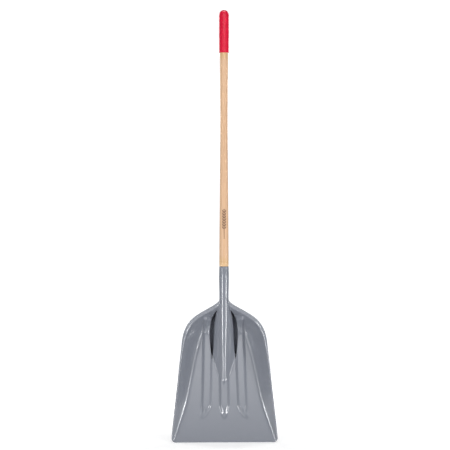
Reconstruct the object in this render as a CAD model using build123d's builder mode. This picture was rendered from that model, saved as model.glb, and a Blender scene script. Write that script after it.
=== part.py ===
# Grain scoop shovel, held upright with the open side of the scoop towards -Y.
# Millimetres, +Z up along the handle, lip edge on Z = 0, handle axis on X = 0, Y = 0.
# Pieces: one-piece moulded scoop head, wooden handle, vinyl grip, two screws from behind.
import os
from math import acos, cos, degrees, radians, sin, tan

from build123d import *

# Overall sizes
total_height = 1500.0
mouth_height = 606.6      # where the handle enters the socket
wall = 3.5                # moulded wall thickness

# Front outline of the scoop
lip_half_width = 187.0
side_taper = 6.5          # degrees that each side leans inwards
side_top = 345.0          # height where the straight side ends
shoulder_knee = (124.8, 411.3)
shoulder_mid = (88.5, 442.4)
shoulder_end = (52.0, 463.0)
knee_slope = 37.0         # the outline's angle from the vertical at each of those points
mid_slope = 57.0
end_slope = 60.6
neck_top = 497.0          # where the shoulder has blended into the socket
corner_radius = 14.0
rim_width = 4.5

# Floor, side walls and back wall
lift = 14.0               # degrees between the floor and the handle
spear_tip = 207.0         # height where the ridge sinks into the floor
spear_tip_x = 13.2        # the hump's half width there
ridge_radius = 16.3
flank_angle = 37.0        # degrees that the ridge's flanks fall away
back_start = 340.0        # height where the floor turns into the back wall
back_radius = 90.0
wall_rise = 43.0          # degrees between a side wall and the X axis
wall_lean = 3.5           # degrees that both side walls lean towards the viewer
wall_half_gap = 108.5     # half distance between the side walls at the origin
crease_radius = 20.0
neck_back = 8.0           # Y of the neck's back, either side of the socket
neck_half_width = 50.0
rim_lip_y = -66.5         # Y of the rim's front at the lip, at the knee and at the neck
rim_knee_y = -55.0
rim_neck_y = -3.0
rim_knee = 300.0

# Raised ribs on the floor
rib_height = 6.0
rib_crest = 8.6           # half widths of the crest and of the foot
rib_foot = 19.0
rib_start = 56.0          # a rib is drawn from here and its end cut to a ramp
rib_bottom = 76.0         # foot of the ramp
rib_end_rise = 7.2        # height of the ramp's top above the floor
rib_full = 121.0          # the rib has its full height from here up
rib_top = 424.0
rib_offset = 58.9         # the side ribs' distance from the middle at rib_level
rib_level = 250.0
rib_splay = 1.7           # degrees
rib_wrap = 62.0           # degrees of the back curve that a rib follows
hollow_narrowing = 0.3    # the groove behind a rib is narrower by this share of the wall

# Deep grooves beside the ridge
groove_low = (40.4, 287.0)
groove_high = (25.0, 437.0)
groove_inner = (34.5, 373.0)
groove_outer = (48.0, 384.0)
groove_floor = 48.0       # Y of the groove's inside end

lip_bevel_height = 4.5
lip_bevel_depth = 2.0

# Socket and handle
socket_foot = 424.0
neck_room_foot = 410.0    # height where the room in front of the neck begins
socket_swell_radius = 17.0
socket_swell_height = 567.0
socket_mouth_radius = 16.4
socket_neck = 12.0        # how far below the mouth the socket starts to narrow
bore_mouth_radius = 13.5
bore_foot_radius = 11.0
bore_foot = 430.0
tenon_clearance = 0.15
tenon_foot = 434.0
handle_radius = 16.2
handle_waist_radius = 13.95
handle_waist_height = 1220.0
shoulder_chamfer = 1.2
handle_top_radius = 15.2
straight_from = 1345.0    # the handle is a plain cylinder from here up
handle_top = 1484.0

# Grip
grip_foot = 1351.0
grip_foot_radius = 17.2
grip_radius = 18.0
grip_pin_length = 65.0
grip_dome = 20.0
grip_clearance = 0.05
grip_shoulder = 0.86      # share of the radius left halfway up the dome

# Screws through the back of the socket
screw_heights = (540.0, 580.0)
screw_shank_radius = 2.2
screw_head_radius = 4.5
screw_head_height = 2.8
screw_length = 22.0
screw_hole_clearance = 0.3
thread_clearance = 0.05
seat_y = 15.4             # the flat seat that a screw head rests on
seat_radius = 5.2

far = 260.0               # beyond the scoop on every side
near = 65.0               # beyond the socket on every side
below = 60.0              # how far cutting shapes run on past their lower end
floor_slope = tan(radians(lift))


def side_x(z):
    # half width of the straight side at a height
    return lip_half_width - z * tan(radians(side_taper))


def ridge_front(x):
    # Y of the ridge's flank at a distance from the middle
    tangent_x = ridge_radius * sin(radians(flank_angle))
    tangent_y = -ridge_radius * cos(radians(flank_angle))
    return tangent_y + (x - tangent_x) * tan(radians(flank_angle))


floor_at_tip = ridge_front(spear_tip_x)


def floor_y(z, behind=0.0):
    # Y of the floor's front surface at a height, or of a surface behind it
    return floor_at_tip + (z - spear_tip) * floor_slope + behind / cos(radians(lift))


def moved_in(point, slope, inset):
    # an outline point moved inwards; slope is the outline's angle from the vertical there
    x, z = point
    return (x - inset * cos(radians(slope)), z - inset * sin(radians(slope)))


def outline_sketch(inset):
    # the scoop seen from the front; an inset outline runs on below the lip
    base = 0.0 if inset == 0 else -below
    side_start = moved_in((side_x(base), base), side_taper, inset)
    side_end = moved_in((side_x(side_top), side_top), side_taper, inset)
    knee = moved_in(shoulder_knee, knee_slope, inset)
    middle = moved_in(shoulder_mid, mid_slope, inset)
    end = moved_in(shoulder_end, end_slope, inset)
    neck = moved_in((ridge_radius, neck_top), 0.0, inset)
    side_direction = (-sin(radians(side_taper)), cos(radians(side_taper)))
    end_direction = (-sin(radians(end_slope)), cos(radians(end_slope)))
    with BuildSketch(Plane.XZ) as outline:
        with BuildLine():
            Polyline((0, side_start[1]), side_start, side_end)
            Spline(side_end, knee, middle, end, tangents=(side_direction, end_direction))
            Spline(end, neck, tangents=(end_direction, (0, 1)))
            Line(neck, (0, neck[1]))
            mirror(about=Plane.YZ)
        make_face()
        if inset == 0:
            corners = outline.vertices().filter_by(lambda corner: abs(corner.Y) < 1)
            fillet(corners, corner_radius)
    return outline.sketch


def is_crease(edge, behind):
    # whether an edge runs between the floor and a side wall
    middle = edge.center()
    on_floor = abs(middle.Y - floor_y(middle.Z, behind)) < 0.1
    return on_floor and abs(middle.X) > crease_radius and edge.length > back_start / 2


def bowl_form(outside):
    # the solid between the rim and the floor: the scoop's outside, or the hollow inside it
    behind = wall if outside else 0.0
    low = 0.0 if outside else -below
    radius = back_radius + behind
    middle_y = floor_y(back_start) - back_radius * cos(radians(lift))
    middle_z = back_start + back_radius * sin(radians(lift))
    outline = outline_sketch(0.0 if outside else rim_width)
    lean = radians(wall_lean)
    gap = wall_half_gap + behind / sin(radians(wall_rise))
    widen = 1 / tan(radians(wall_rise))
    with BuildPart() as form:
        extrude(outline, amount=far, both=True)
        with BuildSketch(Plane.YZ):
            with BuildLine():
                floor = Line((floor_y(low, behind), low), (floor_y(back_start, behind), back_start))
                if outside:
                    turn = acos((neck_back - middle_y) / radius)
                    arc = CenterArc((middle_y, middle_z), radius, -lift, lift + degrees(turn))
                    up = Line(arc @ 1, (neck_back, neck_top))
                    over = Line(up @ 1, (rim_neck_y, neck_top))
                    rim = TangentArc(
                        (rim_knee_y, rim_knee), over @ 1,
                        tangent=(rim_knee_y - rim_lip_y, rim_knee),
                    )
                    front = Line((rim_knee_y, rim_knee), (rim_lip_y, low))
                else:
                    arc = CenterArc((middle_y, middle_z), radius, -lift, lift + 90)
                    over = Line(arc @ 1, (-far, middle_z + radius))
                    front = Line(over @ 1, (-far, low))
                Line(front @ 1, floor @ 0)
            make_face()
        extrude(amount=far, both=True, mode=Mode.INTERSECT)
        lower_end = Plane((0, 0, 0), x_dir=(1, 0, 0), z_dir=(0, -sin(lean), cos(lean))).offset(-far / 2)
        with BuildSketch(lower_end):
            with BuildLine():
                Polyline(
                    (-gap + far / 4 * widen, far / 4), (gap - far / 4 * widen, far / 4),
                    (gap + far * widen, -far), (-gap - far * widen, -far),
                    close=True,
                )
            make_face()
        extrude(amount=3 * far, mode=Mode.INTERSECT)
        creases = [edge for edge in form.edges() if is_crease(edge, behind)]
        fillet(creases, crease_radius + behind)
    return form.part


def ridge_sketch(inside, half_width, plane):
    # the ridge and its flanks as a closed shape, or the hollow behind them
    behind = wall if inside else 0.0
    radius = ridge_radius - behind
    angle = radians(flank_angle)
    tangent = (radius * sin(angle), -radius * cos(angle))
    side_y = tangent[1] + (half_width - tangent[0]) * tan(angle)
    with BuildSketch(plane) as section:
        with BuildLine():
            nose = ThreePointArc((-tangent[0], tangent[1]), (0, -radius), tangent)
            Polyline(
                tangent, (half_width, side_y), (half_width, far), (-half_width, far),
                (-half_width, side_y), nose @ 0,
            )
        make_face()
    return section.sketch


def groove_sketch(grow):
    # both crescents beside the ridge, seen from the front
    with BuildSketch(Plane.XZ) as crescents:
        with BuildLine():
            ThreePointArc(groove_low, groove_inner, groove_high)
            ThreePointArc(groove_high, groove_outer, groove_low)
        make_face()
        if grow > 0:
            offset(amount=grow)
        mirror(about=Plane.YZ)
    return crescents.sketch


def rib_sketch(behind, plane):
    # a rib's cross-section, Y = 0 on the floor's front surface
    crest = rib_crest - behind * hollow_narrowing
    foot = rib_foot - behind * hollow_narrowing
    root = behind + 1.0
    with BuildSketch(plane) as section:
        with BuildLine():
            Polyline(
                (-foot, root), (-foot, behind), (-crest, behind - rib_height),
                (crest, behind - rib_height), (foot, behind), (foot, root),
                close=True,
            )
        make_face()
    return section.sketch


def rib_form(x, splay, behind):
    # one rib along the floor and up the back wall, or the groove behind it
    across = (cos(radians(splay)), 0, sin(radians(splay)))
    line_plane = Plane((x, 0, rib_level), x_dir=(0, 1, 0), z_dir=across)
    middle_y = floor_y(back_start) - back_radius * cos(radians(lift))
    middle_z = back_start + back_radius * sin(radians(lift))
    shift = behind / cos(radians(lift))
    with BuildPart() as rib:
        with BuildLine(line_plane) as path:
            straight = Line(
                (floor_y(rib_start), rib_start - rib_level),
                (floor_y(back_start), back_start - rib_level),
            )
            CenterArc((middle_y, middle_z - rib_level), back_radius, -lift, lift + rib_wrap)
        start = Plane(path.line @ 0, x_dir=across, z_dir=path.line % 0)
        sweep(rib_sketch(behind, start), path=path.line)
        with BuildSketch(Plane.YZ):
            with BuildLine():
                Polyline(
                    (floor_y(rib_bottom) + shift, rib_bottom),
                    (floor_y(rib_full) - rib_end_rise + shift, rib_full),
                    (-far, rib_full), (-far, rib_top),
                    (far, rib_top), (far, rib_bottom),
                    close=True,
                )
            make_face()
        extrude(amount=far, both=True, mode=Mode.INTERSECT)
    return rib.part


scoop_outside = bowl_form(True)
scoop_inside = bowl_form(False)
ridge_start = Plane.XY.offset(spear_tip - below)
ridge_length = neck_top - ridge_start.origin.Z
hollow_length = socket_foot - wall - ridge_start.origin.Z

# the walls and bottoms of both deep grooves
with BuildPart() as groove_walls:
    extrude(groove_sketch(wall), amount=ridge_radius)
    extrude(groove_sketch(wall), amount=-groove_floor - wall)

with BuildPart() as ridge:
    extrude(ridge_sketch(False, groove_low[0], ridge_start), amount=ridge_length)
    add(scoop_outside, mode=Mode.INTERSECT)

with BuildPart() as ridge_hollow:
    extrude(ridge_sketch(True, groove_low[0] - wall, ridge_start), amount=hollow_length)
    add(groove_walls.part, mode=Mode.SUBTRACT)

# room in front of the neck, so that the ridge runs up through the rim as the socket
with BuildPart() as neck_room:
    extrude(outline_sketch(2 * rim_width), amount=far)
    with BuildSketch(Plane.XY.offset(neck_room_foot)):
        Rectangle(2 * neck_half_width, 2 * far)
    extrude(amount=far, mode=Mode.INTERSECT)

with BuildPart() as rib_hollows:
    for x, splay in ((rib_offset, rib_splay), (-rib_offset, -rib_splay)):
        add(rib_form(x, splay, wall))
    add(rib_form(0.0, 0.0, wall))
    add(ridge.part, mode=Mode.SUBTRACT)
    add(groove_walls.part, mode=Mode.SUBTRACT)

with BuildPart() as scoop_head:
    add(scoop_outside)
    add(groove_walls.part)
    add(scoop_inside, mode=Mode.SUBTRACT)
    add(neck_room.part, mode=Mode.SUBTRACT)
    for x, splay in ((rib_offset, rib_splay), (-rib_offset, -rib_splay)):
        add(rib_form(x, splay, 0.0))
    add(rib_form(0.0, 0.0, 0.0))
    add(rib_hollows.part, mode=Mode.SUBTRACT)
    add(ridge.part)
    add(ridge_hollow.part, mode=Mode.SUBTRACT)
    extrude(groove_sketch(0.0), amount=-groove_floor, mode=Mode.SUBTRACT)
    extrude(groove_sketch(0.0), amount=far, mode=Mode.SUBTRACT)
    # socket
    with BuildSketch(Plane.XZ):
        with BuildLine():
            foot = Line((0, socket_foot), (ridge_radius, socket_foot))
            side = Line(foot @ 1, (ridge_radius, neck_top))
            swell = Spline(
                side @ 1, (socket_swell_radius, socket_swell_height), (socket_mouth_radius, mouth_height),
                tangents=((0, 1), (socket_mouth_radius - socket_swell_radius, socket_neck)),
            )
            mouth = Line(swell @ 1, (bore_mouth_radius, mouth_height))
            bore = Line(mouth @ 1, (bore_foot_radius, bore_foot))
            Polyline(bore @ 1, (0, bore_foot), foot @ 0)
        make_face()
    revolve(axis=Axis.Z)
    with BuildSketch(Plane.XZ):
        Polygon(
            (0, mouth_height), (bore_mouth_radius, mouth_height), (bore_foot_radius, bore_foot),
            (0, bore_foot), align=None,
        )
    revolve(axis=Axis.Z, mode=Mode.SUBTRACT)
    # front bevel of the lip
    with BuildSketch(Plane.YZ):
        Polygon(
            (-far, -1), (lip_bevel_depth + floor_y(0), -1), (lip_bevel_depth + floor_y(0), 0),
            (floor_y(lip_bevel_height), lip_bevel_height), (-far, lip_bevel_height), align=None,
        )
    extrude(amount=side_x(0) - 2 * corner_radius, both=True, mode=Mode.SUBTRACT)
    # seats and clearance holes for the screws
    for z in screw_heights:
        with BuildSketch(Plane.XZ.offset(-seat_y)):
            with Locations((0, z)):
                Circle(seat_radius)
        extrude(amount=-near, mode=Mode.SUBTRACT)
        with BuildSketch(Plane.XZ):
            with Locations((0, z)):
                Circle(screw_shank_radius + screw_hole_clearance)
        extrude(amount=-near, mode=Mode.SUBTRACT)

with BuildPart() as handle:
    with BuildSketch(Plane.XZ):
        with BuildLine():
            foot = Line((0, tenon_foot), (bore_foot_radius - tenon_clearance, tenon_foot))
            tenon = Line(foot @ 1, (bore_mouth_radius - tenon_clearance, mouth_height))
            shoulder = Polyline(
                tenon @ 1, (handle_radius - shoulder_chamfer, mouth_height),
                (handle_radius, mouth_height + shoulder_chamfer),
            )
            shaft = Spline(
                shoulder @ 1, (handle_waist_radius, handle_waist_height),
                (handle_top_radius, straight_from),
                tangents=((0, 1), (0, 1)),
            )
            top = Line(shaft @ 1, (handle_top_radius, handle_top))
            Polyline(top @ 1, (0, handle_top), foot @ 0)
        make_face()
    revolve(axis=Axis.Z)
    for z in screw_heights:
        with BuildSketch(Plane.XZ.offset(-seat_y)):
            with Locations((0, z)):
                Circle(screw_shank_radius + thread_clearance)
        extrude(amount=screw_length, mode=Mode.SUBTRACT)

grip_bore = handle_top_radius + grip_clearance

with BuildPart() as grip:
    with BuildSketch(Plane.XZ):
        with BuildLine():
            foot = Line((grip_bore, grip_foot), (grip_foot_radius, grip_foot))
            cuff = Line(foot @ 1, (grip_radius, total_height - grip_dome - grip_pin_length))
            body = Line(cuff @ 1, (grip_radius, total_height - grip_dome))
            dome = Spline(
                body @ 1, (grip_shoulder * grip_radius, total_height - grip_dome / 2), (0, total_height),
                tangents=((0, 1), (-1, 0)),
            )
            Polyline(
                dome @ 1, (0, handle_top), (grip_bore, handle_top), foot @ 0,
            )
        make_face()
    revolve(axis=Axis.Z)

with BuildPart() as socket_screws:
    for z in screw_heights:
        with BuildSketch(Plane.XZ.offset(-seat_y)):
            with Locations((0, z)):
                Circle(screw_head_radius)
        extrude(amount=-screw_head_height)
        with BuildSketch(Plane.XZ.offset(-seat_y)):
            with Locations((0, z)):
                Circle(screw_shank_radius)
        extrude(amount=screw_length)

os.makedirs("parts", exist_ok=True)
pieces = {
    "scoop_head": scoop_head,
    "handle": handle,
    "grip": grip,
    "socket_screws": socket_screws,
}
for name, piece in pieces.items():
    piece.part.label = name
    export_step(piece.part, f"parts/{name}.step")
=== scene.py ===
import math

import bpy
import numpy as np
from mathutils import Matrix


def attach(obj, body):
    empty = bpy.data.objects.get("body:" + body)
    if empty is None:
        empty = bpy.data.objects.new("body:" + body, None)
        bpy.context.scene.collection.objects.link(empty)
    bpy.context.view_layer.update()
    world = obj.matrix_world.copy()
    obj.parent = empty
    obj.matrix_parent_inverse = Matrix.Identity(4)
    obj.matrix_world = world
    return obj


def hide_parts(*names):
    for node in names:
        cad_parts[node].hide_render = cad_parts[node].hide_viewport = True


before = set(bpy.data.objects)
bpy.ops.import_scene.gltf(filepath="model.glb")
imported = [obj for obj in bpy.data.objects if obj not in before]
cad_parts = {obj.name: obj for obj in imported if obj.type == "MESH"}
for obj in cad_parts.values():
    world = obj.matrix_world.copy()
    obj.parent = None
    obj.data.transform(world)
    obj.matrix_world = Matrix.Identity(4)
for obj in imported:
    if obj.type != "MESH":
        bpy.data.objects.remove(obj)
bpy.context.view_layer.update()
print("frame loaded")


def smoothStep(value, low, high):
    # 0 below low, 1 above high, and an S-shaped rise of 3t^2 - 2t^3 between them
    t = np.clip((value - low) / (high - low), 0.0, 1.0)
    return t * t * (3.0 - 2.0 * t)


def softMin(a, b, reach):
    # the smaller of two depths, rounded off over a reach: min(a, b) - h^2 * reach / 4
    h = np.clip(1.0 - np.abs(a - b) / reach, 0.0, 1.0)
    return np.minimum(a, b) - h * h * reach / 4.0


def curveThrough(points, startDirection, endDirection, count):
    # a clamped cubic spline through a few points, by chord length, read off at even steps
    p = np.array(points, float)
    chord = np.linalg.norm(np.diff(p, axis=0), axis=1)
    knots = np.concatenate([[0.0], np.cumsum(chord)])
    n = len(p)
    matrix = np.zeros((n, n))
    right = np.zeros((n, 2))
    matrix[0, 0] = matrix[-1, -1] = 1.0
    right[0] = np.array(startDirection) / np.linalg.norm(startDirection)
    right[-1] = np.array(endDirection) / np.linalg.norm(endDirection)
    for k in range(1, n - 1):
        before, after = chord[k - 1], chord[k]
        matrix[k, k - 1:k + 2] = after, 2.0 * (before + after), before
        right[k] = 3.0 * (after * (p[k] - p[k - 1]) / before + before * (p[k + 1] - p[k]) / after)
    slope = np.linalg.solve(matrix, right)
    travel = np.linspace(0.0, knots[-1], count)
    k = np.clip(np.searchsorted(knots, travel, side="right") - 1, 0, n - 2)
    span = chord[k][:, None]
    t = ((travel - knots[k]) / chord[k])[:, None]
    return ((2 * t**3 - 3 * t**2 + 1) * p[k] + (t**3 - 2 * t**2 + t) * span * slope[k]
            + (3 * t**2 - 2 * t**3) * p[k + 1] + (t**3 - t**2) * span * slope[k + 1])


foldAngle = math.radians(50.0)  # edges folded more than this are shaded sharp


def meshFrom(name, verts, faces, material):
    # one object from whole arrays of points and faces, smooth except at sharp folds
    mesh = bpy.data.meshes.new(name)
    mesh.from_pydata(verts.tolist(), [], faces)
    mesh.polygons.foreach_set("use_smooth", [True] * len(mesh.polygons))
    mesh.set_sharp_from_angle(angle=foldAngle)
    mesh.update()
    piece = bpy.data.objects.new(name, mesh)
    bpy.context.scene.collection.objects.link(piece)
    mesh.materials.append(material)
    return piece


def ringFaces(rings, around, first=0):
    # quads between closed rings of points, wound to face outwards when the rings rise
    j, i = np.meshgrid(np.arange(rings - 1), np.arange(around), indexing="ij")
    nextI = (i + 1) % around
    a, b = j * around + i, j * around + nextI
    c, d = (j + 1) * around + nextI, (j + 1) * around + i
    return (np.stack([a, b, c, d], axis=-1).reshape(-1, 4) + first).tolist()


def turned(radii, heights, around):
    # a profile of radii and heights carried round the Z axis
    angle = np.linspace(0.0, 2.0 * np.pi, around, endpoint=False)
    x = radii[:, None] * np.cos(angle)
    y = radii[:, None] * np.sin(angle)
    z = np.repeat(heights[:, None], around, axis=1)
    return np.stack([x, y, z], axis=-1).reshape(-1, 3)


class Nodes:
    # short names for building one node tree; a value that is a socket is linked, others are set
    def __init__(self, tree):
        self.tree = tree

    def add(self, kind, **settings):
        # a new node with its menu settings
        node = self.tree.nodes.new(kind)
        for key, value in settings.items():
            setattr(node, key, value)
        return node

    def put(self, source, target):
        # a link from a socket, or a plain value
        if isinstance(source, bpy.types.NodeSocket):
            self.tree.links.new(source, target)
        else:
            target.default_value = source

    def math(self, operation, a, b=0.0, c=0.0, clamp=False):
        node = self.add("ShaderNodeMath", operation=operation, use_clamp=clamp)
        for socket, value in zip(node.inputs, (a, b, c)):
            self.put(value, socket)
        return node.outputs[0]

    def ramp(self, value, low, high, outLow=0.0, outHigh=1.0):
        # an S-shaped change from outLow to outHigh while the value goes from low to high
        node = self.add("ShaderNodeMapRange", interpolation_type="SMOOTHSTEP")
        for socket, number in zip(node.inputs, (value, low, high, outLow, outHigh)):
            self.put(number, socket)
        return node.outputs[0]

    def mix(self, factor, a, b):
        # colour a turning into colour b as the factor rises
        node = self.add("ShaderNodeMix", data_type="RGBA")
        self.put(factor, node.inputs[0])
        self.put(a, node.inputs[6])
        self.put(b, node.inputs[7])
        return node.outputs[2]

    def scaled(self, vector, scale):
        # coordinates stretched by a scale for each axis
        node = self.add("ShaderNodeMapping", vector_type="POINT")
        self.put(vector, node.inputs["Vector"])
        node.inputs["Scale"].default_value = scale
        return node.outputs[0]

    def noise(self, vector, scale, detail=2.0, roughness=0.5, distortion=0.0):
        node = self.add("ShaderNodeTexNoise")
        self.put(vector, node.inputs["Vector"])
        for name, value in (("Scale", scale), ("Detail", detail),
                            ("Roughness", roughness), ("Distortion", distortion)):
            self.put(value, node.inputs[name])
        return node.outputs["Fac"]

    def group(self, tree, **inputs):
        node = self.add("ShaderNodeGroup")
        node.node_tree = tree
        for name, value in inputs.items():
            self.put(value, node.inputs[name])
        return node


def newGroup(name, inputs, outputs):
    # an empty node group with named sockets: (name, kind, default)
    tree = bpy.data.node_groups.new(name, "ShaderNodeTree")
    for label, kind, default in inputs:
        socket = tree.interface.new_socket(label, in_out="INPUT", socket_type=kind)
        if default is not None:
            socket.default_value = default
    for label, kind in outputs:
        tree.interface.new_socket(label, in_out="OUTPUT", socket_type=kind)
    n = Nodes(tree)
    return tree, n, n.add("NodeGroupInput"), n.add("NodeGroupOutput")


floatSocket, vectorSocket = "NodeSocketFloat", "NodeSocketVector"


def makeSpeckle():
    # fine bumps and broad cloudy unevenness, for skins that came out of a mould or a dip
    tree, n, given, result = newGroup(
        "skinSpeckle",
        [("Vector", vectorSocket, None), ("Fine Scale", floatSocket, 900.0),
         ("Broad Scale", floatSocket, 9.0)],
        [("Height", floatSocket), ("Cloud", floatSocket)])
    fine = n.noise(given.outputs["Vector"], given.outputs["Fine Scale"], 3.0, 0.55)
    n.put(fine, result.inputs["Height"])
    cloud = n.noise(given.outputs["Vector"], given.outputs["Broad Scale"], 4.0, 0.6)
    n.put(n.ramp(cloud, 0.3, 0.7), result.inputs["Cloud"])
    return tree


def makeScuffs():
    # thin scratches that run mostly along Z, broken up by patches, for use and handling
    tree, n, given, result = newGroup(
        "handlingScuffs",
        [("Vector", vectorSocket, None), ("Density", floatSocket, 0.5)],
        [("Mask", floatSocket)])
    along = n.scaled(given.outputs["Vector"], (420.0, 420.0, 26.0))
    lines = n.noise(along, 1.0, 2.0, 0.6, 0.4)
    across = n.scaled(given.outputs["Vector"], (30.0, 300.0, 380.0))
    cross = n.noise(across, 1.0, 2.0, 0.6, 0.3)
    patches = n.noise(given.outputs["Vector"], 16.0, 3.0, 0.6)
    keen = n.math("MAXIMUM", n.ramp(lines, 0.66, 0.72), n.ramp(cross, 0.70, 0.76))
    thicker = n.math("MULTIPLY", given.outputs["Density"], 0.4)
    gate = n.ramp(n.math("ADD", patches, thicker), 0.55, 0.85)
    n.put(n.math("MULTIPLY", keen, gate, clamp=True), result.inputs["Mask"])
    return tree


skinSpeckle = makeSpeckle()
handlingScuffs = makeScuffs()


def newMaterial(name):
    # a material with its tree, its Principled shader and the object's own coordinates
    material = bpy.data.materials.new(name)
    material.use_nodes = True
    n = Nodes(material.node_tree)
    shader = material.node_tree.nodes["Principled BSDF"]
    place = n.add("ShaderNodeTexCoord").outputs["Object"]
    return material, n, shader, place


def bump(n, height, strength, distance, shader):
    # a height pattern turned into the shader's normal
    node = n.add("ShaderNodeBump")
    node.inputs["Strength"].default_value = strength
    node.inputs["Distance"].default_value = distance
    n.put(height, node.inputs["Height"])
    n.put(node.outputs["Normal"], shader.inputs["Normal"])


# the scoop head in metres: X across, Y back, Z up; pairs are the heights where a change
# starts and ends
scoop = dict(
    # outline from the front
    lipHalfWidth=0.187, sideTaper=math.radians(6.5), sideTop=0.345, cornerRadius=0.014,
    lipPull=0.00148, lipPullTop=0.09,  # the corners draw in a little towards the lip
    knee=(0.1248, 0.4113), middle=(0.0885, 0.4424), shoulder=(0.052, 0.463), neckTop=0.497,
    # floor and walls
    wall=0.0035, rimWall=0.0016, lift=math.radians(14.0),
    sideSlope=0.936, backSlope=1.75, slopeGrow=(0.10, 0.36), shoulderBlend=0.008,
    creaseAtLip=0.0035, creaseAtMiddle=0.013, creaseAtBack=0.040,
    creaseLow=(0.02, 0.15), creaseHigh=(0.15, 0.35),
    lipBevel=0.0045, lipBevelDepth=0.0019,
    # rolled rim
    rimAtLip=-0.0652, rimAtKnee=-0.0535, rimKnee=0.300, rimAtNeck=-0.003,
    rimNarrow=0.0050, rimBroad=0.0130, rimReturn=0.0036,
    rimGrow=(0.29, 0.41), rimFade=(0.474, 0.497), rimFadeShare=0.72,
    # hollow ridge that runs down from the socket to a spear's tip
    ridgeRadius=0.0163, noseTaper=0.0070, noseGrow=(0.225, 0.460), ridgeBlend=0.0022,
    flankAngle=math.radians(37.0), spearTip=0.207, spearHalfWidth=0.0132,
    flankFold=0.024, flankFoldWidth=0.0035, flankFoldRise=0.0008,
    foldStart=(0.285, 0.320), foldEnd=(0.350, 0.385),
    # three ribs, and the rounded tongues at their lower ends
    ribRise=0.0060, ribCrest=0.0086, ribFoot=0.0200, ribLow=0.076, ribEnd=(0.418, 0.438),
    ribSteep=2.2, ribSteepen=(0.365, 0.420), rearRibShare=0.82,
    ribSpread=0.0589, ribLevel=0.250, ribSplay=math.radians(1.7),
    ribFlare=0.0145, flareTop=0.125, flareRun=0.050,
    tongueWiden=(0.100, 0.131), tongueCrest=0.0004, tongueFoot=0.0125, tongueNose=0.036,
    tongueCup=40.0, tongueSlant=0.75, tongueOverlap=0.002,
    # deep wells beside the ridge
    wellLow=0.285, wellHigh=0.451, wellFloor=0.0475, wellLeast=0.0022,
    wellEdge=0.0012, rearWellEdge=0.0014, wellEndEdge=0.0016,
    wellRoll=0.010, wellRollRadius=0.011, rollGrow=(0.295, 0.380),
    # socket and its bore
    tubeFoot=0.424, tubeStep=0.0012, tubeDrop=0.3, roundOff=(0.476, 0.502),
    neckThinning=0.0004, neckThin=(0.480, 0.505), swellFrom=0.500,
    mouth=0.6066, socketSwell=0.0170, socketSwellAt=0.567, socketMouth=0.0164,
    boreMouth=0.0135, boreFoot=0.0110, boreEnd=0.430,
    screwHeights=(0.540, 0.580), seatRadius=0.0052, seatDepth=0.0154,
)
s = scoop
# X and Z along both edges of the right-hand well
wellInner = [(0.0404, 0.285), (0.0365, 0.318), (0.0333, 0.373), (0.0313, 0.404), (0.0240, 0.451)]
wellOuter = [(0.0404, 0.285), (0.0466, 0.321), (0.0489, 0.370), (0.0468, 0.402),
             (0.0410, 0.427), (0.0262, 0.451)]
overShoulder = (-0.871, 0.491)  # direction of the back edge up to the neck


def outlineCurve():
    # right half of the front outline, as dense points: a corner's arc, the straight side,
    # then splines over the shoulder and up the neck
    taper = s["sideTaper"]
    low = s["cornerRadius"]
    centreX = s["lipHalfWidth"] - low * math.tan(taper) - low / math.cos(taper)
    turn = np.linspace(-np.pi / 2.0, taper, 24)
    corner = np.stack([centreX + low * np.cos(turn), low + low * np.sin(turn)], axis=1)
    side = (s["lipHalfWidth"] - s["sideTop"] * math.tan(taper), s["sideTop"])
    straight = np.linspace(corner[-1], side, 80)[1:]
    upSide = (-math.sin(taper), math.cos(taper))
    shoulder = curveThrough([side, s["knee"], s["middle"], s["shoulder"]],
                            upSide, overShoulder, 120)[1:]
    neck = curveThrough([s["shoulder"], (s["ridgeRadius"], s["neckTop"])],
                        overShoulder, (0, 1), 40)[1:]
    whole = np.concatenate([corner, straight, shoulder, neck])
    whole[:, 0] -= s["lipPull"] * (1.0 - smoothStep(whole[:, 1], 0.0, s["lipPullTop"]))
    return whole


outline = outlineCurve()
outlineX, outlineZ = outline[:, 0], outline[:, 1]


def rimDepth(z):
    # Y of the rim at an outline height: a straight lower run, then a parabola back to the neck
    t = np.clip(z / s["rimKnee"], 0.0, 1.0)
    lower = s["rimAtLip"] + (s["rimAtKnee"] - s["rimAtLip"]) * t
    rise = np.clip(z - s["rimKnee"], 0.0, None)
    run = s["neckTop"] - s["rimKnee"]
    grade = (s["rimAtKnee"] - s["rimAtLip"]) / s["rimKnee"]
    bend = (s["rimAtNeck"] - s["rimAtKnee"] - grade * run) / run**2
    return lower + grade * rise + bend * rise * rise


def rimWidth(z):
    # how broad the rolled rim is: narrow down the sides, broad over the shoulders
    broad = smoothStep(z, *s["rimGrow"]) * (1.0 - s["rimFadeShare"] * smoothStep(z, *s["rimFade"]))
    return s["rimNarrow"] + (s["rimBroad"] - s["rimNarrow"]) * broad


def floorDepth(z):
    # Y of the flat floor: it leans back from the lip by the lift, and meets the ridge's flanks
    # at the spear's tip
    angle = s["flankAngle"]
    r = s["ridgeRadius"]
    atTip = -r * math.cos(angle) + (s["spearHalfWidth"] - r * math.sin(angle)) * math.tan(angle)
    return atTip + (z - s["spearTip"]) * math.tan(s["lift"])


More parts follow.
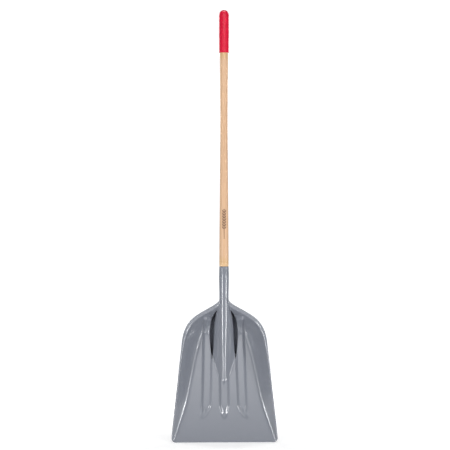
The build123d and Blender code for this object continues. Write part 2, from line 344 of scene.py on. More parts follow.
def ridgeDepth(x, z):
    # a round nose with flat flanks at a tangent, each with a faint fold down its middle
    angle = s["flankAngle"]
    r = s["ridgeRadius"] - s["noseTaper"] * (1.0 - smoothStep(z, *s["noseGrow"]))
    ax = np.abs(x)
    edge = r * math.sin(angle)
    sharpen = (s["ridgeRadius"] - r) * (1.0 / math.cos(angle) - 1.0)
    nose = r - s["ridgeRadius"] - sharpen - np.sqrt(r * r - np.minimum(ax, edge)**2)
    flank = nose + np.clip(ax - edge, 0.0, None) * math.tan(angle)
    fold = np.exp(-((ax - s["flankFold"]) / s["flankFoldWidth"])**2)
    reach = smoothStep(z, *s["foldStart"]) * (1.0 - smoothStep(z, *s["foldEnd"]))
    overEdge = np.clip(ax - (wellEdges(z)[0] - s["wellRoll"]), 0.0, s["wellRoll"])
    roll = overEdge**2 / (2.0 * s["wellRollRadius"]) * smoothStep(z, *s["rollGrow"])
    return flank - s["flankFoldRise"] * fold * reach + roll


def ribHeight(x, z, centre, splay):
    # a flat crest with sloping flanks; towards the lower end it narrows to a rounded tongue,
    # and the side ribs' tongues lean outwards and are cut off at a slant
    side = np.sign(centre)
    drop = np.clip((s["flareTop"] - z) / s["flareRun"], 0.0, 1.2)
    middle = centre + (s["ribLevel"] - z) * np.tan(splay) + side * s["ribFlare"] * drop**2
    off = x - middle
    narrow = 1.0 - smoothStep(z, *s["tongueWiden"])
    crest = s["ribCrest"] + (s["tongueCrest"] - s["ribCrest"]) * narrow
    foot = s["ribFoot"] + (s["tongueFoot"] - s["ribFoot"]) * narrow
    u = np.clip((foot - np.abs(off)) / (foot - crest), 0.0, 1.0)
    sloped = 0.6 * u + 0.4 * u * u * (3.0 - 2.0 * u)  # mostly straight, eased at both ends
    profile = sloped + (np.sin(np.pi / 2.0 * u) - sloped) * narrow
    inwards = np.clip(-side * off + s["tongueOverlap"], 0.0, None)
    start = s["ribLow"] + s["tongueCup"] * off * off + s["tongueSlant"] * inwards
    nose = smoothStep(z, start, start + s["tongueNose"])
    top = 1.0 - smoothStep(z, *s["ribEnd"])
    return s["ribRise"] * profile * nose * top


def wallSlope(z):
    # how steeply the wall drops behind the rim, steeper round the shoulders
    return s["sideSlope"] + (s["backSlope"] - s["sideSlope"]) * smoothStep(z, *s["slopeGrow"])


def distanceToShoulder(x, z):
    # distance to the shoulder's polyline and the outline height of the nearest point on it
    curve = outline[outline[:, 1] >= s["sideTop"] - 1e-9]
    points = np.stack([np.abs(x).ravel(), z.ravel()], axis=1)
    start, step = curve[:-1], np.diff(curve, axis=0)
    gap = np.empty(len(points))
    height = np.empty(len(points))
    for part in np.array_split(np.arange(len(points)), 24):  # in parts, to save memory
        away = points[part, None] - start[None]
        t = np.clip((away * step).sum(axis=2) / (step * step).sum(axis=1), 0.0, 1.0)
        far = np.linalg.norm(away - t[:, :, None] * step, axis=2)
        nearest = far.argmin(axis=1)
        gap[part] = far.min(axis=1)
        height[part] = (start[:, 1] + t * step[:, 1])[np.arange(len(part)), nearest]
    return gap.reshape(x.shape), height.reshape(x.shape)


def bowlDepth(x, z):
    # floor and walls: each wall rises with distance from the outline, rounded into the floor
    taper = s["sideTaper"]
    fromSide = (s["lipHalfWidth"] - z * math.tan(taper) - np.abs(x)) * math.cos(taper)
    zSide = np.clip(z + fromSide * math.sin(taper), 0.0, None)
    side = rimDepth(zSide) + wallSlope(zSide) * (fromSide - rimWidth(zSide))
    gap, zNear = distanceToShoulder(x, z)
    shoulder = rimDepth(zNear) + wallSlope(zNear) * (gap - rimWidth(zNear))
    wallDepth = softMin(side, shoulder, np.clip(0.1 * fromSide, 1e-6, s["shoulderBlend"]))
    lower = (s["creaseAtMiddle"] - s["creaseAtLip"]) * smoothStep(z, *s["creaseLow"])
    upper = (s["creaseAtBack"] - s["creaseAtMiddle"]) * smoothStep(z, *s["creaseHigh"])
    reach = s["creaseAtLip"] + lower + upper
    return softMin(floorDepth(z), wallDepth, reach)


def insideDepth(x, z, ribShare, ribSteep):
    # the whole front surface without the wells: bowl, three ribs and the ridge
    steep = 1.0 + ribSteep * smoothStep(z, *s["ribSteepen"])
    depth = bowlDepth(x, z)
    for side in (-1.0, 0.0, 1.0):
        rib = ribHeight(x, z, side * s["ribSpread"], side * s["ribSplay"])
        depth = depth - ribShare * steep * rib
    return softMin(depth, ridgeDepth(x, z), s["ridgeBlend"])


def rowHeights():
    # heights of the rows of points, close together where the shape changes fast; each stretch
    # is its foot, its top and how many rows it has
    stretches = [(0.0, 0.0045, 5), (0.0045, 0.016, 6), (0.016, 0.070, 15), (0.070, 0.126, 26),
                 (0.126, 0.184, 16), (0.184, 0.284, 36), (0.284, 0.294, 7), (0.294, 0.420, 46),
                 (0.420, 0.428, 7), (0.428, 0.500, 40), (0.500, 0.533, 7)]
    for height in s["screwHeights"]:
        stretches.append((height - 0.007, height + 0.007, 18))
    stretches += [(0.547, 0.573, 5), (0.587, s["mouth"] - 0.0008, 5)]
    rows = np.concatenate([np.linspace(a, b, n, endpoint=False) for a, b, n in stretches])
    return np.unique(np.round(np.append(rows, s["mouth"] - 0.0008), 7))


def wellEdges(z):
    # X of both edges of a well at each height, kept a little apart beyond its ends
    inner = curveThrough(wellInner, (-0.12, 1.0), (-0.25, 1.0), 80)
    outer = curveThrough(wellOuter, (0.25, 1.0), (-0.9, 1.0), 80)
    b1 = np.interp(z, inner[:, 1], inner[:, 0])
    b2 = np.interp(z, outer[:, 1], outer[:, 0])
    return b1, np.maximum(b2, b1 + s["wellLeast"])


bead = 13  # columns across the rolled rim
blocks = [("nose", 10), ("flank", 22), ("well", 7), ("rib", 32), ("side", 13), ("wall", 20)]


def columnPlaces(z, qx, spread):
    # X of the half's columns from the middle to the rim, following wells, ribs and crease
    b1, b2 = wellEdges(z)
    b1, b2 = b1 - spread, b2 + spread
    ridgeNose, ribOuter = np.full_like(z, 0.0100), np.full_like(z, 0.079)
    crease = np.maximum(0.1765 - 0.331 * z, 0.092)
    knots = np.stack([ridgeNose, b1 - 0.0008, b2 + 0.0008, ribOuter, crease], 1)
    # no block may reach past its share of the half's width
    limit = qx[:, None] * np.array([0.30, 0.55, 0.68, 0.84, 0.93])
    knots = np.minimum(knots, limit)
    knots = np.concatenate([np.zeros((len(z), 1)), knots, qx[:, None]], axis=1)
    parts = []
    for k, (name, count) in enumerate(blocks):
        low, high = knots[:, k:k + 1], knots[:, k + 1:k + 2]
        if name == "well":
            step = np.minimum(0.0008, 0.2 * (high - low))
            inset = np.minimum(0.0016, 0.35 * (high - low))
            middle = (low + high) / 2.0
            parts.append(np.concatenate(
                [low, low + step, low + inset, middle, high - inset, high - step], axis=1))
            parts.append(high)
        else:
            start = 0 if k == 0 or blocks[k - 1][0] != "well" else 1
            t = np.linspace(0.0, 1.0, count, endpoint=False)[start:]
            parts.append(low + (high - low) * t)
    return np.concatenate(parts, axis=1)


def rimRoll(q, p, slope):
    # the rolled rim: a cubic Bezier from the wall's top q over a crown and down the outside p
    t = np.linspace(0.0, 1.0, bead)[None, :, None]
    out = p - q
    width = np.linalg.norm(out[:, [0, 2]], axis=1)
    up = np.array([0.0, -1.0, 0.0])
    first = q
    # the second point leaves along the wall's slope, and the third stands over the outer edge
    second = q + 0.30 * out + up * (0.30 * width * np.minimum(slope, 1.1))[:, None]
    third = q + 1.00 * out + up * (0.42 * width)[:, None]
    last = q + out - up * s["rimReturn"]
    first, second, third, last = (point[:, None, :] for point in (first, second, third, last))
    return ((1 - t)**3 * first + 3 * (1 - t)**2 * t * second
            + 3 * (1 - t) * t**2 * third + t**3 * last)


def halfSurface(rows, spread, ribShare, ribSteep):
    # the right half of the inside surface: columns over the bowl, then the rolled rim, which
    # is square to the outline
    px = np.interp(rows, outlineZ, outlineX)
    tangent = np.gradient(outline, axis=0)
    slope = np.interp(rows, outlineZ, np.arctan2(-tangent[:, 0], tangent[:, 1]))
    slope = np.where(rows < 0.02, s["sideTaper"], slope)
    slope = np.where(rows > s["neckTop"], 0.0, slope)
    width = rimWidth(rows)
    qx = px - width * np.cos(slope)
    qz = rows - width * np.sin(slope) * smoothStep(rows, 0.0, 0.04)
    x = columnPlaces(qz, qx, spread)
    z = np.repeat(qz[:, None], x.shape[1], axis=1)
    y = insideDepth(x, z, ribShare, ribSteep)
    q = np.stack([qx, insideDepth(qx, qz, ribShare, ribSteep), qz], axis=1)
    p = np.stack([px, q[:, 1], rows], axis=1)
    roll = rimRoll(q, p, wallSlope(rows))
    return np.concatenate([np.stack([x, y, z], axis=2), roll], axis=1)


def mirrored(half):
    # the left half joined to the right one, sharing the middle column
    left = half[:, :0:-1].copy()
    left[:, :, 0] *= -1.0
    return np.concatenate([left, half], axis=1)


def surfaceNormals(grid):
    # unit normals towards the front, from the cross product of the two grid directions
    n = np.cross(np.gradient(grid, axis=1), np.gradient(grid, axis=0))
    return n / np.linalg.norm(n, axis=2, keepdims=True)


def wellMask(x, z, spread, soft):
    # 1 inside a well, 0 outside, with a short slope at the edge: distance over its softness
    b1, b2 = wellEdges(z)
    ax = np.abs(x)
    inside = np.minimum(ax - (b1 - spread), (b2 + spread) - ax)
    ends = np.minimum(z - (s["wellLow"] - spread), (s["wellHigh"] + spread) - z)
    return np.clip(inside / soft, 0.0, 1.0) * np.clip(ends / s["wellEndEdge"], 0.0, 1.0)


def socketRadius(z):
    # outside radius of the socket: even at the neck, swelling out and in again to the mouth
    swell = smoothStep(z, s["swellFrom"], s["socketSwellAt"])
    narrow = smoothStep(z, s["socketSwellAt"] + 0.006, s["mouth"])
    r = s["ridgeRadius"] - s["neckThinning"] * smoothStep(z, *s["neckThin"])
    r = r + (s["socketSwell"] - r) * swell
    return r - (s["socketSwell"] - s["socketMouth"]) * narrow


def buildScoop(material):
    # both faces of the wall as one closed skin: rows up the scoop, then the socket and its bore
    rows = rowHeights()
    front = mirrored(halfSurface(rows, 0.0, 1.0, s["ribSteep"]))
    back = mirrored(halfSurface(rows, s["wall"] - 0.0003, s["rearRibShare"], 0.0))
    columns = front.shape[1]
    toRim = np.minimum(np.arange(columns), np.arange(columns)[::-1])
    wall = s["rimWall"] + (s["wall"] - s["rimWall"]) * smoothStep(toRim, 0.0, bead + 2.0)
    # the rear face is the front one moved back by the wall, level at the lip
    offset = -surfaceNormals(back) * wall[None, :, None]
    offset[:, :, 2] *= smoothStep(rows, 0.0, 0.03)[:, None]
    back = back + offset

    # wells in front, and the runners that stand behind them
    mask = wellMask(front[:, :, 0], front[:, :, 2], 0.0, s["wellEdge"])
    front[:, :, 1] += mask * np.clip(s["wellFloor"] - front[:, :, 1], 0.0, None)
    mask = wellMask(back[:, :, 0], back[:, :, 2], s["wall"], s["rearWellEdge"])
    back[:, :, 1] += mask * np.clip(s["wellFloor"] + s["wall"] - back[:, :, 1], 0.0, None)

    # the lip's bevel thins the front edge
    bevel = 1.0 - np.clip(rows / s["lipBevel"], 0.0, 1.0)
    awayFromRim = smoothStep(toRim, 2.0, bead + 1.0)
    front[:, :, 1] += s["lipBevelDepth"] * bevel[:, None] * awayFromRim[None, :]

    # the socket's tube stands behind the ridge from its foot up
    x, z = back[:, :, 0], back[:, :, 2]
    tubeRadius = socketRadius(z)
    belowFoot = 1.0 - smoothStep(z, s["tubeFoot"] - s["tubeStep"], s["tubeFoot"] + s["tubeStep"])
    tube = np.sqrt(np.clip(tubeRadius**2 - x**2, 0.0, None)) - s["tubeDrop"] * belowFoot
    deeper = np.maximum(back[:, :, 1], tube)
    back[:, :, 1] = np.where(np.abs(x) < tubeRadius, deeper, back[:, :, 1])

    # above the shoulders both faces turn into a round tube
    turn = smoothStep(rows, *s["roundOff"])[:, None, None]
    angle = np.linspace(-np.pi / 2.0, np.pi / 2.0, columns)
    radius = socketRadius(rows)[:, None]
    level = np.repeat(rows[:, None], columns, axis=1)
    roundFront = np.stack([radius * np.sin(angle), -radius * np.cos(angle), level], axis=2)
    roundBack = np.stack([radius * np.sin(angle), radius * np.cos(angle), level], axis=2)
    for height in s["screwHeights"]:
        fromScrew = np.hypot(roundBack[:, :, 0], roundBack[:, :, 2] - height)
        seat = 1.0 - smoothStep(fromScrew, s["seatRadius"], s["seatRadius"] + 0.0006)
        cut = np.clip(roundBack[:, :, 1] - s["seatDepth"], 0.0, None)
        roundBack[:, :, 1] -= cut * seat
    front = front + (roundFront - front) * turn
    back = back + (roundBack - back) * turn

    # one ring a row: along the front to the right, back along the rear's columns, which are
    # all kept round the wells and thinned to every third elsewhere
    fromMiddle = np.abs(np.arange(columns) - columns // 2)
    kept = (fromMiddle % 3 == 0) | (toRim == 0) | ((fromMiddle > 27) & (fromMiddle < 45))
    rear = np.flatnonzero(kept)
    back, rearAngle = back[:, rear], angle[rear]
    rings = np.concatenate([front, back[:, ::-1]], axis=1)
    around = rings.shape[1]
    ringAngle = np.concatenate([angle, np.pi - rearAngle[::-1]])
    mouth = s["mouth"]
    profile = [(s["socketMouth"] - 0.0003, mouth - 0.0002), (s["socketMouth"] - 0.0009, mouth),
               (s["boreMouth"] + 0.0006, mouth), (s["boreMouth"] + 0.0001, mouth - 0.0004),
               (s["boreMouth"] - 0.0004, mouth - 0.03), (s["boreFoot"], s["boreEnd"])]
    inner = [np.stack([np.sin(ringAngle) * r, -np.cos(ringAngle) * r, np.full(around, h)], axis=1)
             for r, h in profile]
    verts = np.concatenate([rings.reshape(-1, 3)] + inner)
    faces = ringFaces(len(rows) + len(profile), around)
    for i, (a, b) in enumerate(zip(rear[:-1], rear[1:])):  # the lip's underside
        faces.append([a, around - 1 - i, around - 2 - i] + list(range(b, a, -1)))
    faces.append(list(range(len(verts) - around, len(verts))))  # the bore's floor
    piece = meshFrom("scoopHead", verts, faces, material)
    print("scoop head", len(rows), "rows of", around)
    return piece


def scoopPlastic():
    # grey moulded plastic with an even satin gloss, fine pitting, and scuffs by the lip
    look = dict(colour=(0.196, 0.210, 0.243, 1.0), shade=(0.190, 0.204, 0.236, 1.0),
                scuff=(0.47, 0.48, 0.50, 1.0), gloss=0.19)
    material, n, shader, place = newMaterial("scoopPlastic")
    skin = n.group(skinSpeckle, Vector=place)
    skin.inputs["Fine Scale"].default_value = 700.0
    skin.inputs["Broad Scale"].default_value = 7.0
    colour = n.mix(n.math("MULTIPLY", skin.outputs["Cloud"], 0.45), look["colour"], look["shade"])
    split = n.add("ShaderNodeSeparateXYZ")
    n.put(place, split.inputs[0])
    nearLip = n.ramp(split.outputs["Z"], 0.16, 0.0)
    scuffs = n.group(handlingScuffs, Vector=place, Density=n.math("MULTIPLY", nearLip, 0.8))
    worn = n.math("MULTIPLY", scuffs.outputs["Mask"], n.math("MULTIPLY_ADD", nearLip, 0.08, 0.02))
    n.put(n.mix(worn, colour, look["scuff"]), shader.inputs["Base Color"])
    rough = n.math("MULTIPLY_ADD", skin.outputs["Cloud"], 0.02, look["gloss"])
    n.put(n.math("MULTIPLY_ADD", worn, 0.4, rough), shader.inputs["Roughness"])
    shader.inputs["Specular IOR Level"].default_value = 0.9
    pitting = n.math("SUBTRACT", skin.outputs["Height"], n.math("MULTIPLY", worn, 2.0))
    bump(n, pitting, 0.10, 0.0004, shader)
    return material


# the handle: a tapered tenon inside the socket, a shoulder at its mouth and a slim waist
handle = dict(
    tenonFoot=0.434, tenonFootRadius=0.01085, mouth=0.6066, tenonMouthRadius=0.01335,
    shoulderRadius=0.0162, chamfer=0.0012, waist=0.01395, waistHeight=1.220,
    topRadius=0.0152, underGrip=1.345, top=1.484, poleRadius=0.0006, around=128,
)
h = handle


def handleProfile():
    # radii and heights: tapered tenon, chamfered shoulder, slim waist, then the end in the grip
    shaft = curveThrough([(h["shoulderRadius"], h["mouth"] + h["chamfer"]),
                          (h["waist"], h["waistHeight"]),
                          (h["topRadius"], h["underGrip"])], (0, 1), (0, 1), 60)
    tenon = np.linspace((h["tenonFootRadius"], h["tenonFoot"]),
                        (h["tenonMouthRadius"], h["mouth"]), 14)
    start = np.array([[h["poleRadius"], h["tenonFoot"]],
                      [h["tenonFootRadius"] - 0.001, h["tenonFoot"]]])
    step = np.array([[h["shoulderRadius"] - h["chamfer"], h["mouth"]]])
    end = np.array([[h["topRadius"], h["top"] - 0.001], [h["topRadius"] - 0.001, h["top"]],
                    [h["poleRadius"], h["top"]]])
    return np.concatenate([start, tenon, step, shaft, end])


def buildTurned(name, profile, around, material):
    # a profile turned round the Z axis, with a flat face over each small hole at its ends
    verts = turned(profile[:, 0], profile[:, 1], around)
    faces = ringFaces(len(profile), around)
    faces.append(list(range(around))[::-1])
    faces.append(list(range(len(verts) - around, len(verts))))
    print(name, len(faces), "faces")
    return meshFrom(name, verts, faces, material)


def makeWheatMark():
    # a burnt-in wheat ear on the side facing -Y: a straight stem, and oval grains that repeat
    # along a slant on either side of it
    tree, n, given, result = newGroup(
        "wheatMark",
        [("Vector", vectorSocket, None), ("Low", floatSocket, 0.702), ("High", floatSocket, 0.812)],
        [("Mask", floatSocket)])
    split = n.add("ShaderNodeSeparateXYZ")
    n.put(given.outputs["Vector"], split.inputs[0])
    x, y, z = split.outputs
    ax = n.math("ABSOLUTE", x)
    span = n.math("SUBTRACT", given.outputs["High"], given.outputs["Low"])
    along = n.math("DIVIDE", n.math("SUBTRACT", z, given.outputs["Low"]), span)
    stem = n.math("MULTIPLY", n.ramp(ax, 0.0011, 0.0007), n.ramp(along, 0.0, 0.01))
    stem = n.math("MULTIPLY", stem, n.ramp(along, 0.97, 0.94))
    slant = n.math("SUBTRACT", z, n.math("MULTIPLY", ax, 1.3))
    cell = n.math("SUBTRACT", n.math("FRACT", n.math("DIVIDE", slant, 0.0095)), 0.5)
    u = n.math("DIVIDE", cell, 0.38)
    v = n.math("DIVIDE", n.math("SUBTRACT", ax, 0.0039), 0.0031)
    ring = n.math("ADD", n.math("MULTIPLY", u, u), n.math("MULTIPLY", v, v))
    grains = n.math("MULTIPLY", n.ramp(ring, 1.0, 0.7), n.ramp(along, 0.32, 0.34))
    grains = n.math("MULTIPLY", grains, n.ramp(along, 0.95, 0.92))
    facing = n.ramp(y, -0.002, -0.004)
    mark = n.math("MULTIPLY", n.math("MAXIMUM", stem, grains), facing)
    patchy = n.ramp(n.noise(given.outputs["Vector"], 600.0, 2.0, 0.6), 0.25, 0.5, 0.85, 1.0)
    n.put(n.math("MULTIPLY", mark, patchy, clamp=True), result.inputs["Mask"])
    return tree


def ashWood():
    # pale straight-grained ash under clear lacquer, with fine pores and a burnt-in mark
    look = dict(pale=(0.640, 0.415, 0.255, 1.0), grain=(0.520, 0.305, 0.170, 1.0),
                pore=(0.430, 0.255, 0.130, 1.0), burnt=(0.090, 0.034, 0.014, 1.0),
                endBand=(0.560, 0.360, 0.130, 1.0))
    material, n, shader, place = newMaterial("ashWood")
    cathedral = n.scaled(place, (95.0, 60.0, 1.6))
    bands = n.noise(cathedral, 1.0, 3.0, 0.55, 0.5)
    rings = n.math("SINE", n.math("MULTIPLY", bands, 46.0))
    late = n.ramp(rings, 0.15, 0.95)
    streaks = n.noise(n.scaled(place, (900.0, 900.0, 14.0)), 1.0, 3.0, 0.65)
    holes = n.noise(n.scaled(place, (2600.0, 2600.0, 60.0)), 1.0, 1.0, 0.5)
    pores = n.math("MULTIPLY", n.ramp(holes, 0.60, 0.70), late)
    tone = n.mix(n.math("MULTIPLY", late, 0.42), look["pale"], look["grain"])
    tone = n.mix(n.ramp(streaks, 0.35, 0.75, 0.0, 0.30), tone, look["grain"])
    tone = n.mix(n.math("MULTIPLY", pores, 0.55), tone, look["pore"])
    split = n.add("ShaderNodeSeparateXYZ")
    n.put(place, split.inputs[0])
    # a darker, more amber band on the wood next to the socket's mouth and just under the grip
    atSocket = n.ramp(split.outputs["Z"], 0.650, 0.612)
    atGrip = n.ramp(split.outputs["Z"], 1.318, 1.346)
    ends = n.math("ADD", atSocket, atGrip)
    tone = n.mix(n.math("MULTIPLY", ends, 0.5), tone, look["endBand"])
    mark = n.group(makeWheatMark(), Vector=place).outputs["Mask"]
    n.put(n.mix(n.math("MULTIPLY", mark, 0.95), tone, look["burnt"]), shader.inputs["Base Color"])
    rough = n.math("MULTIPLY_ADD", streaks, 0.12, 0.34)
    n.put(n.math("MULTIPLY_ADD", mark, 0.25, rough), shader.inputs["Roughness"])
    shader.inputs["Coat Weight"].default_value = 0.6
    shader.inputs["Coat Roughness"].default_value = 0.10
    dents = n.math("MULTIPLY_ADD", mark, -2.5, n.math("MULTIPLY", pores, -1.0))
    bump(n, dents, 0.35, 0.00015, shader)
    return material


# the grip: a sleeve with a rolled lower edge and a rounded end, bored for the handle
grip = dict(
    foot=1.351, footRadius=0.0172, radius=0.0180, total=1.500, dome=0.020, pin=0.065,
    bore=0.01525, boreTop=1.484, poleRadius=0.0006, around=128,
)
g = grip


def gripProfile():
    # up the bore, round the rolled lower edge, along the sleeve and over the dome
    turn = np.linspace(-np.pi / 2.0, np.pi / 2.0, 9)
    edgeMiddle = (g["bore"] + g["footRadius"]) / 2.0
    edgeHalf = (g["footRadius"] - g["bore"]) / 2.0
    edge = np.stack([edgeMiddle + edgeHalf * np.sin(turn),
                     g["foot"] + edgeHalf * (1.0 - np.cos(turn))], 1)
    sleeve = np.linspace((g["footRadius"], g["foot"] + 0.003),
                         (g["radius"], g["total"] - g["dome"] - g["pin"]), 12)
    pin = np.linspace((g["radius"], g["total"] - g["dome"] - g["pin"] + 0.004),
                      (g["radius"], g["total"] - g["dome"]), 10)
    over = np.linspace(0.08, np.pi / 2.0 - 0.02, 22)
    dome = np.stack([g["radius"] * np.cos(over)**0.92,
                     g["total"] - g["dome"] + g["dome"] * np.sin(over)], 1)
    inside = np.array([[g["poleRadius"], g["boreTop"]], [g["bore"] - 0.0005, g["boreTop"]],
                       [g["bore"], g["boreTop"] - 0.0005], [g["bore"], g["foot"] + 0.004]])
    return np.concatenate([inside, edge, sleeve, pin, dome])


def redVinyl():
    # dipped red vinyl: wet gloss, slow waves in the skin and a cloudy, slightly deeper red in
    # places
    look = dict(colour=(0.600, 0.006, 0.036, 1.0), deep=(0.500, 0.004, 0.026, 1.0))
    material, n, shader, place = newMaterial("redVinyl")
    skin = n.group(skinSpeckle, Vector=place)
    skin.inputs["Fine Scale"].default_value = 260.0
    skin.inputs["Broad Scale"].default_value = 30.0
    n.put(n.mix(n.math("MULTIPLY", skin.outputs["Cloud"], 0.4), look["colour"], look["deep"]),
          shader.inputs["Base Color"])
    scuffs = n.group(handlingScuffs, Vector=place, Density=0.1)
    n.put(n.math("MULTIPLY_ADD", scuffs.outputs["Mask"], 0.15, 0.24), shader.inputs["Roughness"])
    shader.inputs["Specular IOR Level"].default_value = 0.35
    bump(n, skin.outputs["Height"], 0.12, 0.0006, shader)
    return material


# the two wood screws, which lie along Y with their heads behind the socket
screw = dict(
    headRadius=0.0045, headRise=0.0028, seat=0.0154, shank=0.0022, length=0.022,
    turns=9, threadDepth=0.00025, recessDepth=0.0014, recessSide=(0.0003, 0.0006),
    recessReach=(0.0019, 0.0024), around=96, headRings=26,
)
w = screw


def buildScrews(material):
    # each screw is a turned profile laid along Y; a cross recess is pressed into the head
    around, rings = w["around"], w["headRings"]
    r = np.linspace(0.0, 1.0, rings)
    dome = w["headRise"] * (0.55 + 0.45 * np.sqrt(np.clip(1.0 - r**2.6, 0.0, 1.0)))
    underHead = [w["headRadius"], w["headRadius"] - 0.0002, w["shank"]]
    radii = np.concatenate([w["headRadius"] * r, underHead])
    depth = np.concatenate([dome, [0.0003, 0.0, 0.0]])
    thread = np.linspace(0.0, w["length"] - 0.004, 8 * w["turns"])
    wave = np.cos(2.0 * np.pi * thread * w["turns"] / thread[-1])
    ripple = w["threadDepth"] * (0.5 + 0.5 * wave)
    radii = np.concatenate([radii, w["shank"] - ripple, [0.0008, 0.0001]])
    depth = np.concatenate([depth, -0.0004 - thread, [-w["length"] + 0.001, -w["length"]]])
    angle = np.linspace(0.0, 2.0 * np.pi, around, endpoint=False)
    x = radii[:, None] * np.cos(angle)
    up = radii[:, None] * np.sin(angle)
    arm = np.minimum(np.abs(x), np.abs(up))
    long = np.maximum(np.abs(x), np.abs(up))
    recess = (1.0 - smoothStep(arm, *w["recessSide"])) * (1.0 - smoothStep(long, *w["recessReach"]))
    onHead = np.arange(len(radii))[:, None] < rings
    out = depth[:, None] - w["recessDepth"] * recess * onHead
    radiiGrid = np.stack([x, w["seat"] + out, up], axis=-1)
    verts, faces = [], []
    for number, height in enumerate(s["screwHeights"]):
        shifted = (radiiGrid + np.array([0.0, 0.0, height])).reshape(-1, 3)
        first = number * len(shifted)
        verts.append(shifted)
        faces += ringFaces(len(radii), around, first)
        faces.append(list(range(first + len(shifted) - around, first + len(shifted))))
    piece = meshFrom("socketScrews", np.concatenate(verts), faces, material)
    print("screws")
    return piece


def zincSteel():
    # bright zinc plate, a little cloudy
    look = dict(bright=(0.62, 0.62, 0.60, 1.0), cloudy=(0.50, 0.51, 0.52, 1.0))
    material, n, shader, place = newMaterial("zincSteel")
    skin = n.group(skinSpeckle, Vector=place)
    skin.inputs["Fine Scale"].default_value = 1500.0
    skin.inputs["Broad Scale"].default_value = 260.0
    n.put(n.mix(skin.outputs["Cloud"], look["bright"], look["cloudy"]), shader.inputs["Base Color"])
    n.put(n.math("MULTIPLY_ADD", skin.outputs["Cloud"], 0.12, 0.26), shader.inputs["Roughness"])
    shader.inputs["Metallic"].default_value = 1.0
    bump(n, skin.outputs["Height"], 0.10, 0.0001, shader)
    return material


def place(piece, node, slot):
    # every piece takes its CAD node's place and stays with the one body
    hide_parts(node)
    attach(piece, "root")


place(buildScoop(scoopPlastic()), "scoop_head", "scoop_plastic")
ashHandle = buildTurned("ashHandle", handleProfile(), h["around"], ashWood())
place(ashHandle, "handle", "ash_wood")
vinylGrip = buildTurned("vinylGrip", gripProfile(), g["around"], redVinyl())
place(vinylGrip, "grip", "red_vinyl")
place(buildScrews(zincSteel()), "socket_screws", "zinc_steel")


# the camera, the floor and the sky; view is the width that the camera sees at its distance
studio = dict(
    distance=7.0, azimuth=math.radians(-2.3), aimHeight=0.7510, aimX=0.0036, view=1.5680,
    floorColour=(0.88, 0.88, 0.88, 1.0), floorRadius=3.4, floorGlow=(0.25, 0.85),
    floorGlowFrom=0.1, floorGlowTo=1.5, skyColour=(0.97, 0.98, 1.0, 1.0),
    skyStrength=0.15, skyShown=1.0, sensor=36.0,
)
d = studio
# azimuth from -Y in degrees, distance, height, size, power and the point each light faces
lights = dict(
    frontTop=(4.0, 2.6, 2.35, (3.0, 2.2), 44.0, (0.0, 0.0, 0.4)),
    stripLeft=(-43.0, 3.0, 0.26, (0.36, 0.52), 22.0, (0.0, 0.0, 0.26)),
    stripRight=(52.0, 3.0, 0.26, (0.36, 0.52), 22.0, (0.0, 0.0, 0.26)),
    upperLeft=(-43.0, 3.0, 1.25, (0.30, 0.8), 3.0, (0.0, 0.0, 1.15)),
    upperRight=(52.0, 3.0, 1.25, (0.30, 0.8), 3.0, (0.0, 0.0, 1.15)),
    ceiling=(0.0, 0.1, 3.3, (1.6, 0.7), 26.0, (0.0, 0.0, 0.4)),
    rearLeft=(-135.0, 2.8, 1.9, (1.2, 1.6), 30.0, (0.0, 0.0, 0.7)),
    rearRight=(140.0, 2.8, 1.9, (1.2, 1.6), 30.0, (0.0, 0.0, 0.7)),
)


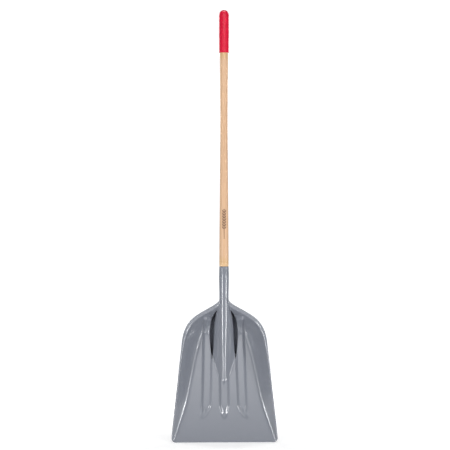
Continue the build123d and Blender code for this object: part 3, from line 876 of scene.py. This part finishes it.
def buildStage():
    # a round pale floor: rings of points, and a glow that lifts its far part to white
    around = 96
    radii = np.array([0.02, 0.3, 0.8, 1.4, 2.2, d["floorRadius"]])
    verts = turned(radii, np.zeros(len(radii)), around)
    faces = [face[::-1] for face in ringFaces(len(radii), around)] + [list(range(around))]
    material, n, shader, place = newMaterial("paleFloor")
    shader.inputs["Base Color"].default_value = d["floorColour"]
    shader.inputs["Roughness"].default_value = 0.9
    shader.inputs["Specular IOR Level"].default_value = 0.1
    shader.inputs["Emission Color"].default_value = (1.0, 1.0, 1.0, 1.0)
    away = n.add("ShaderNodeVectorMath", operation="LENGTH")
    n.put(place, away.inputs[0])
    glow = n.ramp(away.outputs["Value"], d["floorGlowFrom"], d["floorGlowTo"], *d["floorGlow"])
    n.put(glow, shader.inputs["Emission Strength"])
    meshFrom("floor", verts, faces, material)


def aimed(direction):
    # turn that points an object's -Z along a direction, with its Y kept upright
    x, y, z = direction
    return (math.atan2(math.hypot(x, y), -z), 0.0, math.atan2(-x, y))


def softLight(name, azimuth, distance, height, size, power, aim):
    # a rectangular lamp on a circle round the object, turned to face a point
    light = bpy.data.lights.new(name, "AREA")
    light.shape = "RECTANGLE"
    light.size, light.size_y = size
    light.energy = power
    lamp = bpy.data.objects.new(name, light)
    bpy.context.scene.collection.objects.link(lamp)
    angle = math.radians(azimuth)
    lamp.location = (distance * math.sin(angle), -distance * math.cos(angle), height)
    lamp.rotation_euler = aimed(np.array(aim) - np.array(lamp.location))
    lamp.visible_camera = False


buildStage()
for lightName, (azimuth, distance, height, size, power, aim) in lights.items():
    softLight(lightName, azimuth, distance, height, size, power, aim)

world = bpy.data.worlds.new("paleRoom")
world.use_nodes = True
n = Nodes(world.node_tree)
sky = world.node_tree.nodes["Background"]
sky.inputs["Color"].default_value = d["skyColour"]
# dim as a light, white as a background
seen = n.add("ShaderNodeLightPath").outputs["Is Camera Ray"]
n.put(n.math("MULTIPLY_ADD", seen, d["skyShown"], d["skyStrength"]), sky.inputs["Strength"])
bpy.context.scene.world = world

camera = bpy.data.cameras.new("camera")
camera.sensor_width = d["sensor"]
camera.lens = d["sensor"] * d["distance"] / d["view"]
eye = bpy.data.objects.new("camera", camera)
bpy.context.scene.collection.objects.link(eye)
eye.location = (d["aimX"] + d["distance"] * math.sin(d["azimuth"]),
                -d["distance"] * math.cos(d["azimuth"]), d["aimHeight"])
eye.rotation_euler = (math.pi / 2.0, 0.0, d["azimuth"])
bpy.context.scene.camera = eye
bpy.context.scene.view_settings.view_transform = "Standard"
print("studio")
